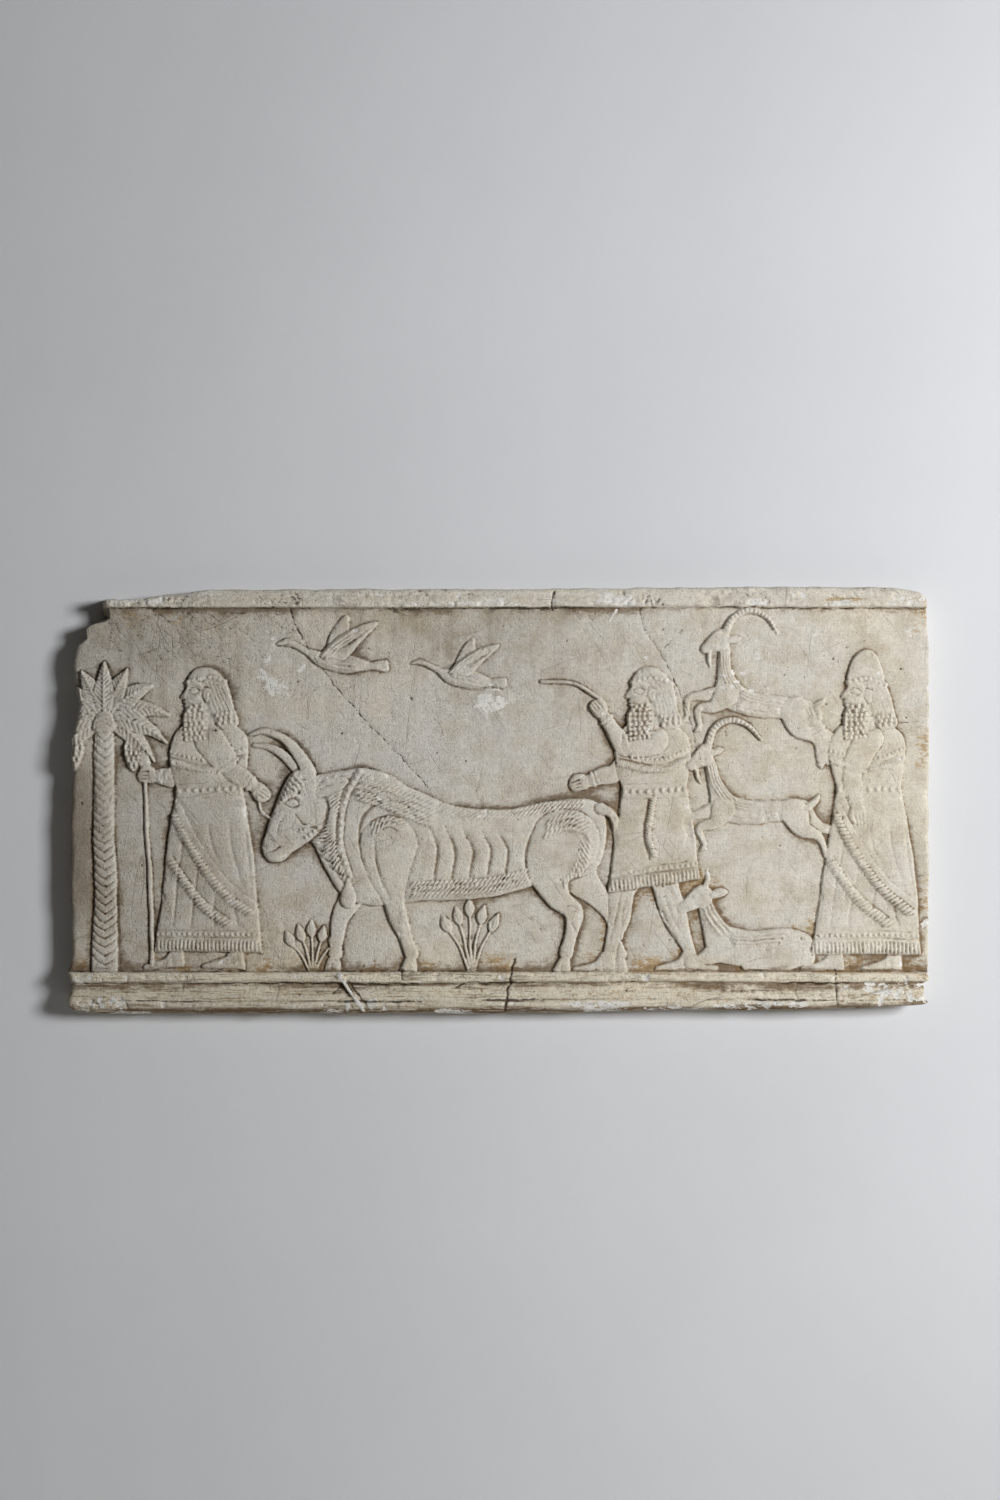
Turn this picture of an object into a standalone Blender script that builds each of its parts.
"""Cast plaster relief plaque: a herding procession in low relief, under a flat band and over a stepped foot moulding.

The slab is one casting. Its back is flat on the plane y = 0 and its face looks along -Y. Lengths are in
millimetres until the mesh is made.
"""

import math

import bmesh
import bpy
import numpy as np

MM = 0.001

# Slab
WIDTH = 1200.0
HEIGHT = 594.0
FIELD_DEPTH = 39.0  # from the back to the ground of the relief

# Outline of the worn and broken edges: (place along the edge, where the edge lies)
LEFT_EDGE = ((-297, -590), (-290, -600), (-282, -603), (-272, -601), (-258, -599), (-248, -600), (-237, -604),
             (-230, -602), (-222, -600), (-60, -600), (0, -600), (56, -597), (84, -597), (112, -592), (136, -587),
             (151, -591), (166, -594), (186, -596), (201, -595), (217, -593), (221, -586), (226, -578), (240, -579),
             (244.5, -572), (247.5, -563), (249.5, -552), (254, -545), (265, -546), (269.5, -549.5), (281, -550))
RIGHT_EDGE = ((-290, 580), (-282, 600), (-270, 595), (-256, 595), (-250, 600), (0, 602), (152, 601), (157, 597),
              (163, 601), (210, 601), (270, 598), (284, 597), (292, 588))
TOP_EDGE = ((-600, 280), (-545, 282), (-500, 289), (-445, 294), (0, 296), (460, 299), (560, 297), (600, 291))
FOOT_EDGE = ((-600, -295), (-560, -299), (0, -298.5), (400, -296.5), (560, -290), (600, -286))

# Mouldings: (place up the face, height above the ground of the relief)
GROUND_LINE = -239.0
TOP_BAND = 270.0
MOULDING = ((-299, 2), (-294, 6.5), (-288, 10), (-281, 9.6), (-275, 8.2), (-272, 6.4), (-264, 4.4), (-256, 2.4),
            (-253, 8.6), (-246, 10), (GROUND_LINE - 1, 9.6), (GROUND_LINE + 2.5, 0), (TOP_BAND - 2.5, 0),
            (TOP_BAND, 8), (TOP_BAND + 12, 8), (297, 4))

# Relief
RELIEF_DEPTH = 0.68  # share of the carving levels below that the casting keeps
CARVING_STEP = 2.5
EDGE_SLOPE = 3.2  # width of the slope round a carved form
CURVE_STEPS = 5  # points between two points of an outline
MAN_SCALE = 1.2
BULL_SCALE = 1.15
IBEX_SCALE = 0.9

# Mesh
GRID_COLUMNS = 480
GRID_ROWS = 240
FACE_TRIANGLES = 9200

PLASTER = (0.62, 0.575, 0.50, 1.0)
PLASTER_ROUGHNESS = 0.85


def curve_through(points, closed=False):
    """A smooth curve through the points; a point given twice makes a corner."""
    p = np.asarray(points, float)
    p = np.vstack([p[-1], p, p[0], p[1]]) if closed else np.vstack([2 * p[0] - p[1], p, 2 * p[-1] - p[-2]])
    t = np.linspace(0, 1, CURVE_STEPS, endpoint=False)[:, None]
    pieces = []
    for before, start, end, after in zip(p[:-3], p[1:-2], p[2:-1], p[3:]):
        if np.allclose(start[:2], end[:2]):
            continue
        square = before - 2.5 * start + 2 * end - 0.5 * after
        cube = 1.5 * (start - end) + 0.5 * (after - before)
        pieces.append(start + 0.5 * t * (end - before) + t**2 * square + t**3 * cube)
    if not closed:
        pieces.append(p[-2:-1])
    return np.vstack(pieces)


def ease(t):
    """0 to 1 with level ends."""
    t = np.clip(t, 0, 1)
    return t * t * (3 - 2 * t)


def along_link(x, z, start, end):
    """Share of the way from start to end of the nearest point, and its distance."""
    dx, dz = end[0] - start[0], end[1] - start[1]
    share = np.clip(((x - start[0]) * dx + (z - start[1]) * dz) / max(dx * dx + dz * dz, 1e-9), 0, 1)
    return share, np.hypot(x - start[0] - share * dx, z - start[1] - share * dz)


class Carving:
    """Heights above the ground of the relief, on an even grid."""

    def __init__(self):
        self.xs = np.arange(-WIDTH / 2, WIDTH / 2 + CARVING_STEP, CARVING_STEP)
        self.zs = np.arange(-HEIGHT / 2, HEIGHT / 2 + CARVING_STEP, CARVING_STEP)
        self.heights = np.zeros((len(self.zs), len(self.xs)))

    def window(self, path, margin):
        """The part of the grid round a path, and its points."""
        low, high = path[:, :2].min(0) - margin, path[:, :2].max(0) + margin
        columns = slice(*np.searchsorted(self.xs, (low[0], high[0])))
        rows = slice(*np.searchsorted(self.zs, (low[1], high[1])))
        x, z = np.meshgrid(self.xs[columns], self.zs[rows])
        return (rows, columns), x, z

    def sample(self, x, z):
        """Heights at any points, by even blending between grid points."""
        u = np.clip((x - self.xs[0]) / CARVING_STEP, 0, len(self.xs) - 1.001)
        v = np.clip((z - self.zs[0]) / CARVING_STEP, 0, len(self.zs) - 1.001)
        i, j = u.astype(int), v.astype(int)
        u, v = u - i, v - j
        h = self.heights
        low = h[j, i] * (1 - u) + h[j, i + 1] * u
        high = h[j + 1, i] * (1 - u) + h[j + 1, i + 1] * u
        return low * (1 - v) + high * v


class Figure:
    """A frame for drawing one figure: it faces +x, and its feet are at its origin."""

    def __init__(self, carving, x, z=GROUND_LINE, scale=1.0, facing=-1, turn=0.0):
        self.carving = carving
        self.x, self.z = x, z
        self.scale, self.facing, self.turn = scale, facing, turn

    def placed(self, points):
        """The figure's own points in the plaque's frame; a third column holds radii."""
        p = np.array(points, float, ndmin=2)
        c, s = math.cos(math.radians(self.turn)), math.sin(math.radians(self.turn))
        x, z = p[:, 0] * c - p[:, 1] * s, p[:, 0] * s + p[:, 1] * c
        radii = p[:, 2:] * self.scale
        return np.column_stack([self.x + self.facing * self.scale * x, self.z + self.scale * z, radii])

    def at(self, x, z, scale=1.0, turn=0.0):
        """A frame placed in this one, for a head, a hand or a foot."""
        px, pz = self.placed([(x, z)])[0]
        return Figure(self.carving, px, pz, self.scale * scale, self.facing, self.turn + turn)

    def press(self, window, distance, level, crown, spread):
        """Set a form on the ground: what it covers is gone, as a carver cuts nearer forms last."""
        weight = ease(-distance / EDGE_SLOPE + 0.5)
        inward = np.clip(-distance / spread, 0, 1)
        target = level + crown * np.sqrt(1 - (1 - inward) ** 2)
        heights = self.carving.heights
        heights[window] += weight * (target - heights[window])

    def limb(self, points, level, crown=2.2):
        """A round-ended limb along points (x, z, radius); a pair of levels runs from its root to its end."""
        path = self.placed(curve_through(points))
        window, x, z = self.carving.window(path, path[:, 2].max() + 6)
        distance = np.full(x.shape, np.inf)
        for start, end in zip(path[:-1], path[1:]):
            share, reach = along_link(x, z, start, end)
            distance = np.minimum(distance, reach - start[2] - share * (end[2] - start[2]))
        if isinstance(level, tuple):
            share, _ = along_link(x, z, path[0], path[-1])
            level = level[0] + (level[1] - level[0]) * ease(share)
        self.press(window, distance, level, crown, path[:, 2].max() * 0.9)

    def shape(self, outline, level, crown=2.2, spread=12.0):
        """A closed form with a smooth outline."""
        path = self.placed(curve_through(outline, closed=True))
        window, x, z = self.carving.window(path, 6)
        distance = np.full(x.shape, np.inf)
        inside = np.zeros(x.shape, bool)
        for start, end in zip(path, np.roll(path, -1, 0)):
            distance = np.minimum(distance, along_link(x, z, start, end)[1])
            if end[1] != start[1]:
                crossing = start[0] + (z - start[1]) * (end[0] - start[0]) / (end[1] - start[1])
                inside ^= ((start[1] > z) != (end[1] > z)) & (x < crossing)
        self.press(window, np.where(inside, -distance, distance), level, crown, spread * self.scale)


def head(figure, capped):
    """A bearded head in profile, with its neck at the origin."""
    figure.limb(((-6, -8, 12), (-4, 8, 11)), 6)
    figure.shape(((-21, 4), (-24, 18), (-20, 34), (-7, 45), (8, 45), (17, 36), (18, 26), (25, 16), (20, 9), (18, 1),
                  (-6, -3)), 7, 2.6, 9)
    figure.shape(((3, 13), (20, 3), (21, -8), (19, -27), (19, -27), (-1, -24), (-1, -24), (-4, -4)), 8.6, 1.0, 4)
    figure.shape(((2, 30), (-8, 38), (-20, 34), (-27, 20), (-35, -10), (-31, -17), (-16, -17), (-5, 8)), 9, 1.6, 6)
    figure.limb(((-22, 30, 2.8), (-8, 35, 2.8), (18, 31, 2.6)), 10.4, 0.6)
    if capped:
        figure.shape(((-20, 32), (-17, 50), (0, 64), (16, 44), (18, 33), (0, 37)), 8.4, 2.4, 10)


def arm(figure, shoulder, elbow, wrist, level):
    """A bare arm with a closed hand."""
    (sx, sz), (ex, ez), (wx, wz) = shoulder, elbow, wrist
    figure.limb(((sx, sz, 14.5), ((sx + ex) / 2, (sz + ez) / 2, 12.5), (ex, ez, 10.5), (wx, wz, 6.6)), level)
    hand = figure.at(wx, wz, turn=math.degrees(math.atan2(wz - ez, wx - ex)))
    hand.limb(((4, 0, 8), (12, 0, 8)), level + 0.6, 1.8)


def foot(figure, heel, level):
    """A sandalled foot."""
    figure.at(heel, 0).shape(((-7, 1), (-7, 1), (-7, 12), (-4, 24), (8, 24), (16, 14), (42, 5), (43, 1), (43, 1)),
                             level, 1.6, 6)


def robe(figure):
    """A long wrapped robe, its fringed hem and the edge of the wrap."""
    figure.shape(((-30, 284), (-44, 262), (-38, 214), (-38, 214), (-58, 60), (-62, 20), (-62, 20), (66, 20), (66, 20),
                  (60, 60), (38, 213), (38, 213), (46, 256), (36, 284), (6, 298)), 6, 2.8, 24)
    figure.shape(((-61, 21), (-61, 21), (-60, 36), (-60, 36), (64, 36), (64, 36), (65, 21), (65, 21)), 8.6, 0.6, 4)
    figure.limb(((36, 190, 5), (14, 145, 8), (-20, 98, 8), (-50, 75, 6)), 9.4, 0.8)


def kilt(figure):
    """Bare legs under a tunic that ends above the knee."""
    figure.limb(((-8, 130, 22), (-14, 98, 15.5), (-26, 64, 13.5), (-40, 32, 8), (-44, 18, 8)), 6)
    foot(figure, -44, 5.8)
    figure.shape(((-30, 284), (-44, 262), (-38, 214), (-38, 214), (-54, 106), (-54, 106), (54, 92), (54, 92),
                  (38, 213), (38, 213), (46, 256), (36, 284), (6, 298)), 6, 2.8, 24)
    figure.shape(((-53, 107), (-53, 107), (-52, 122), (-52, 122), (51, 108), (51, 108), (53, 93), (53, 93)), 8.6, 0.6, 4)


def man(figure, near, far, kilted=False, capped=False, held=None):
    """An attendant, 350 tall at scale 1; near and far are the points of the arms."""
    if kilted:
        figure.limb(((12, 128, 20), (36, 98, 15), (40, 64, 13), (48, 32, 8), (50, 18, 8)), 4)
        foot(figure, 50, 3.8)
    else:
        foot(figure, 36, 4)
        foot(figure, -34, 5.5)
    if held:
        figure.limb(held, 5.5, 1)
    arm(figure, *far, 4.4)
    (kilt if kilted else robe)(figure)
    figure.shape(((-39, 204), (-39, 204), (-38, 220), (-38, 220), (38, 219), (38, 219), (39, 203), (39, 203)), 9.8, 1.0, 5)
    arm(figure, *near, 10.0)
    (sx, sz), (ex, ez), _ = near
    figure.limb(((sx - 2, sz - 2, 17), (sx * 0.35 + ex * 0.65, sz * 0.35 + ez * 0.65, 15)), 10.8)
    head(figure.at(6, 302, 1.12), capped)


def hoof(figure, x, z, level, size=1.0):
    """A cloven hoof, flat on the ground."""
    figure.at(x, z, size).shape(((-9, 0), (-9, 0), (13, 0), (13, 0), (6, 16), (-6, 17)), level, 1.4, 5)


def bull(figure):
    """A walking bull, 245 at the hump at scale 1."""
    figure.limb(((112, 130, 26), (124, 108, 18), (150, 72, 11), (156, 40, 7.4), (158, 22, 8.4)), 3.6)
    figure.limb(((-128, 140, 34), (-142, 110, 20), (-176, 74, 11), (-184, 42, 7.4), (-190, 22, 8.4)), 3.6)
    figure.limb(((196, 238, 8), (214, 256, 6.4), (236, 270, 4.2), (258, 274, 1.8)), 4.6, 1.6)
    hoof(figure, 160, 0, 3.6)
    hoof(figure, -190, 0, 3.6)
    figure.shape(((-166, 196), (-150, 210), (-50, 199), (14, 203), (62, 222), (100, 244), (166, 241), (200, 214),
                  (176, 140), (140, 88), (70, 84), (-40, 92), (-124, 112), (-172, 160)), 6, 4.4, 40)
    figure.limb(((-122, 156, 42), (-104, 126, 28), (-112, 92, 16), (-132, 70, 11.5), (-128, 40, 7.6), (-124, 22, 8.6)),
                (11.2, 7.6))
    figure.limb(((92, 152, 36), (92, 118, 24), (88, 92, 14), (82, 66, 11.5), (72, 40, 7.6), (66, 22, 8.6)), (11.2, 7.6))
    hoof(figure, -122, 0, 8)
    hoof(figure, 68, 0, 8)
    figure.limb(((-164, 198, 7), (-182, 182, 5.4), (-186, 140, 4.4), (-184, 88, 6), (-188, 66, 8.5), (-192, 44, 3)),
                (11.4, 8), 1.6)
    figure.limb(((128, 244, 4.6), (148, 206, 4.6), (152, 160, 4.6), (142, 112, 4), (142, 92, 9)), 13.4, 1.4)
    figure.shape(((172, 222), (184, 240), (204, 244), (216, 232), (240, 172), (247, 146), (236, 132), (222, 133),
                  (182, 164), (164, 204)), 10, 4, 15)
    figure.limb(((188, 240, 9), (202, 262, 7.2), (222, 282, 5.2), (246, 290, 3.6), (262, 286, 1.6)), 11.6, 1.8)
    figure.shape(((176, 224), (150, 238), (140, 232), (150, 222), (178, 214)), 12.4, 1.2, 6)


def ibex(figure):
    """A leaping ibex with its body's middle at the origin."""
    figure.limb(((60, 2, 15), (88, -8, 8), (110, -18, 5.2), (104, -50, 4.6)), 3.4, 1.8)
    figure.limb(((-66, 6, 20), (-92, -14, 10), (-118, -22, 6), (-138, -54, 4.6)), 3.4, 1.8)
    figure.shape(((-78, 12), (-66, 22), (6, 18), (36, 24), (56, 44), (74, 86), (86, 84), (80, 44), (74, 2), (62, -14),
                  (0, -18), (-34, -10), (-80, -8)), 5.6, 3.0, 22)
    figure.limb(((-56, 4, 23), (-70, -20, 14), (-98, -32, 6.8), (-114, -70, 4.8)), (9.2, 7))
    figure.limb(((54, 2, 19), (66, -20, 11), (90, -30, 6), (79, -62, 4.8)), (9.2, 7))
    figure.shape(((70, 76), (72, 90), (82, 98), (94, 94), (112, 66), (107, 55), (86, 62)), 8.8, 2.6, 8)
    figure.limb(((80, 96, 6.8), (72, 122, 5.8), (50, 138, 5), (22, 134, 4), (-2, 114, 2.4)), 9.8, 1.8)
    figure.shape(((74, 88), (54, 92), (60, 84), (72, 80)), 10.6, 0.8, 3)
    figure.limb(((-78, 14, 6), (-90, 24, 5), (-94, 32, 2)), 8, 1.2)


def kid(figure):
    """A young gazelle lying down with its head up."""
    figure.shape(((-74, 22), (-66, 46), (-34, 54), (34, 56), (60, 92), (72, 92), (62, 30), (20, 6), (-30, 4), (-66, 6)),
                 5.6, 3.6, 20)
    figure.limb(((-48, 28, 22), (-30, 12, 13), (-4, 9, 7), (14, 6, 5)), (9.4, 7.4))
    figure.limb(((44, 28, 16), (66, 16, 8), (84, 12, 5.6), (64, 5, 4.2), (50, 4.5, 4.4)), 7.4)
    figure.shape(((56, 84), (56, 98), (66, 106), (78, 102), (98, 80), (96, 73), (74, 76)), 8.2, 2.2, 8)
    figure.limb(((64, 103, 3.8), (60, 115, 3.2), (62, 126, 2)), 8.4, 1.2)
    figure.shape(((58, 96), (46, 102), (36, 98), (56, 88)), 10, 0.8, 3)
    figure.limb(((-72, 30, 5), (-82, 38, 4), (-88, 34, 3)), 7, 1)


def palm(figure, height, crown, fronds):
    """A date palm: a straight trunk, drooping fronds and two bunches of dates."""
    figure.limb(((0, 2, 17), (0, height * 0.5, 14), (0, height, 12.5)), 4.6, 4.4)
    for side in (-1, 1):
        figure.limb(((side * 37, height - 16, 6), (side * 38, height - 34, 13), (side * 38, height - 58, 4)), 5, 2.4)
    middle = (fronds - 1) / 2
    for rank, k in enumerate(sorted(range(fronds), key=lambda k: -abs(k - middle))):
        angle = math.radians(-22 + 224 * k / (fronds - 1))
        reach = crown * (0.92 + 0.12 * math.sin(3 * angle))
        droop = 34 * abs(math.cos(angle)) ** 1.2
        steps = ((0, 4), (0.3, 11), (0.6, 12), (0.85, 8), (1, 3))
        figure.limb([(math.cos(angle) * reach * t, height + 6 + math.sin(angle) * reach * t - droop * t * t, radius)
                     for t, radius in steps], 5.4 + 0.35 * rank, 1.6)
    figure.limb(((0, height - 4, 13), (0, height + 4, 10)), 10, 2)


def goose(figure):
    """A goose in flight with both wings raised."""
    figure.shape(((4, 4), (14, 10), (2, 44), (-16, 66), (-24, 64), (-22, 40), (-14, 12)), 3.6, 1.4, 8)
    figure.limb(((-74, -4, 7), (-44, -4, 6), (-14, 0, 13.5), (14, 4, 12), (36, 14, 5.4), (66, 28, 5.2), (80, 25, 2.4)), 5.2)
    figure.shape(((16, 6), (18, 14), (2, 30), (-26, 48), (-58, 58), (-62, 52), (-20, 10), (-6, 2)), 8, 1.6, 8)


def lily(figure, stems=5, height=80.0):
    """A clump of buds on stems that lean outwards."""
    for k in range(stems):
        lean = (k - (stems - 1) / 2) / ((stems - 1) / 2)
        top = height * (1 - 0.28 * abs(lean))
        figure.limb(((4 * lean, 0, 3), (15 * lean, top * 0.55, 2.6), (30 * lean, top, 2.6)), 4, 0.8)
        figure.at(30 * lean, top, turn=-24 * lean).shape(((-3, -2), (-7.5, 8), (0, 25), (7.5, 8), (3, -2)), 5.4, 1.6, 5)


def procession():
    """The whole composition, walking to the left."""
    carving = Carving()
    palm(Figure(carving, -552, scale=1.1), 318, 86, 11)
    man(Figure(carving, -404, scale=MAN_SCALE), near=((2, 272), (-26, 232), (-54, 212)),
        far=((16, 262), (42, 226), (64, 228)), held=((68, 6, 3), (71, 120, 3), (75, 248, 5)))
    bull(Figure(carving, -48, scale=BULL_SCALE))
    man(Figure(carving, 216, scale=MAN_SCALE), near=((2, 272), (34, 262), (60, 300)),
        far=((12, 268), (46, 232), (80, 222)), kilted=True)
    Figure(carving, 216, scale=MAN_SCALE).limb(((62, 318, 2.6), (92, 336, 2.4), (132, 338, 2)), 9, 0.8)
    ibex(Figure(carving, 364, 134, IBEX_SCALE, turn=14))
    ibex(Figure(carving, 360, -16, IBEX_SCALE, turn=4))
    kid(Figure(carving, 360, scale=1.12))
    man(Figure(carving, 516, scale=MAN_SCALE), near=((2, 272), (20, 228), (14, 190)),
        far=((12, 268), (46, 250), (62, 290)), capped=True)
    goose(Figure(carving, -232, 192))
    goose(Figure(carving, -56, 168, 0.86))
    lily(Figure(carving, -40))
    lily(Figure(carving, -262, scale=0.9), height=58)
    return carving


def edge(points, along):
    """Where a worn edge lies at each place along it."""
    places, offsets = zip(*points)
    return np.interp(along, places, offsets)


def face_points(u, v):
    """The plaque's face: grid shares u, v (0 to 1) become points of the worn outline, the mouldings and the relief."""
    across = (u - 0.5) * WIDTH
    foot_line, top_line = edge(FOOT_EDGE, across), edge(TOP_EDGE, across)
    z = foot_line + (top_line - foot_line) * v
    left, right = edge(LEFT_EDGE, z), edge(RIGHT_EDGE, z)
    x = left + (right - left) * u
    heights = np.maximum(RELIEF_DEPTH * procession().sample(x, z), edge(MOULDING, z))
    return np.column_stack([x, -FIELD_DEPTH - heights, z])


def plaster():
    """The plaque's one material."""
    material = bpy.data.materials.new("plaster")
    material.use_nodes = True
    shader = material.node_tree.nodes["Principled BSDF"]
    shader.inputs["Base Color"].default_value = PLASTER
    shader.inputs["Roughness"].default_value = PLASTER_ROUGHNESS
    return material


def thin_out(plaque, triangles):
    """Collapse the even grid to large triangles where the face is flat, and small ones along the carving."""
    decimate = plaque.modifiers.new("thin out", "DECIMATE")
    decimate.use_collapse_triangulate = True
    decimate.ratio = triangles / (2 * GRID_COLUMNS * GRID_ROWS)
    bpy.context.view_layer.update()
    thinned = bpy.data.meshes.new_from_object(plaque.evaluated_get(bpy.context.evaluated_depsgraph_get()))
    plaque.modifiers.clear()
    plaque.data = thinned


def back_up(plaque):
    """Run the border of the face straight back to the plane y = 0, and close the flat back."""
    body = bmesh.new()
    body.from_mesh(plaque.data)
    border = [side for side in body.edges if side.is_boundary]
    walls = bmesh.ops.extrude_edge_only(body, edges=border)["geom"]
    for corner in walls:
        if isinstance(corner, bmesh.types.BMVert):
            corner.co.y = 0.0
    rim = [side for side in walls if isinstance(side, bmesh.types.BMEdge) and side.is_boundary]
    bmesh.ops.contextual_create(body, geom=rim)
    bmesh.ops.triangulate(body, faces=body.faces[:])
    bmesh.ops.recalc_face_normals(body, faces=body.faces[:])
    body.to_mesh(plaque.data)
    body.free()


def make_plaque():
    """The one casting."""
    bpy.ops.mesh.primitive_grid_add(x_subdivisions=GRID_COLUMNS, y_subdivisions=GRID_ROWS, size=1.0)
    plaque = bpy.context.active_object
    plaque.name = plaque.data.name = "plaque"
    flat = np.empty(len(plaque.data.vertices) * 3, np.float32)
    plaque.data.vertices.foreach_get("co", flat)
    flat = flat.reshape(-1, 3).astype(float)
    points = face_points(flat[:, 0] + 0.5, flat[:, 1] + 0.5) * MM
    plaque.data.vertices.foreach_set("co", points.astype(np.float32).ravel())
    plaque.data.update()
    thin_out(plaque, FACE_TRIANGLES)
    back_up(plaque)
    plaque.data.materials.clear()
    plaque.data.materials.append(plaster())
    return plaque


def main():
    """Clear the scene and put the plaque in a collection of its own."""
    for leftover in list(bpy.data.objects):
        bpy.data.objects.remove(leftover)
    plaque = make_plaque()
    home = bpy.data.collections.new("relief_plaque")
    bpy.context.scene.collection.children.link(home)
    for holder in list(plaque.users_collection):
        holder.objects.unlink(plaque)
    home.objects.link(plaque)


main()
